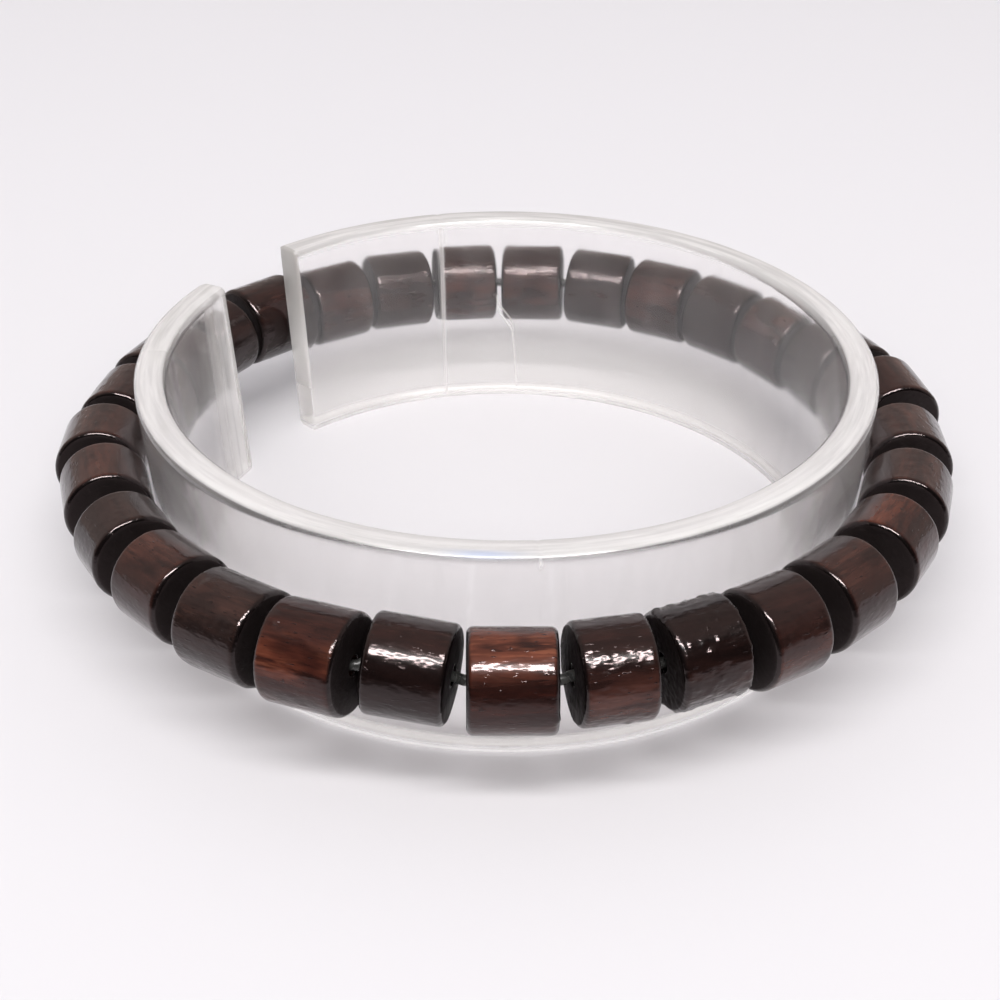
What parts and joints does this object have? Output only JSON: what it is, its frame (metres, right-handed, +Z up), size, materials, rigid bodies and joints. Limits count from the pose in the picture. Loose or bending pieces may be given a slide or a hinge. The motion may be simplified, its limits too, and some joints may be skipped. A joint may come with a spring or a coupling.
{
  "type": "beaded bracelet on display ring",
  "caption": "Stretch bracelet of drilled, dark lacquered wooden drum beads on an elastic cord, worn round a clear C-shaped display ring.",
  "frame": {"origin": "centre of the display ring's foot, on the surface it stands on", "axes": "+Z up along the ring's axis; -Y towards the front bead, as the picture shows it; +X to the right"},
  "size_m": [0.075, 0.0748, 0.0184],
  "materials": {
    "clear_acrylic": "clear, polished",
    "elastic": "clear, satin",
    "wood_red_brown": "semi-gloss lacquer",
    "wood_dark_brown": "semi-gloss lacquer",
    "wood_near_black": "semi-gloss lacquer",
    "wood_grey_brown": "semi-gloss lacquer"
  },
  "bodies": {
    "root": {"display_ring": "clear_acrylic", "elastic_cord": "elastic", "bead_01": "wood_red_brown", "bead_02": "wood_dark_brown", "bead_03": "wood_near_black", "bead_04": "wood_dark_brown", "bead_05": "wood_dark_brown", "bead_06": "wood_red_brown", "bead_07": "wood_dark_brown", "bead_08": "wood_dark_brown", "bead_09": "wood_dark_brown", "bead_10": "wood_near_black", "bead_11": "wood_dark_brown", "bead_12": "wood_grey_brown", "bead_13": "wood_dark_brown", "bead_14": "wood_near_black", "bead_15": "wood_dark_brown", "bead_16": "wood_dark_brown", "bead_17": "wood_grey_brown", "bead_18": "wood_dark_brown", "bead_19": "wood_red_brown", "bead_20": "wood_dark_brown", "bead_21": "wood_near_black", "bead_22": "wood_dark_brown", "bead_23": "wood_dark_brown", "bead_24": "wood_dark_brown", "bead_25": "wood_grey_brown", "bead_26": "wood_dark_brown", "bead_27": "wood_grey_brown", "bead_28": "wood_red_brown", "bead_29": "wood_near_black"}
  },
  "joints": []
}
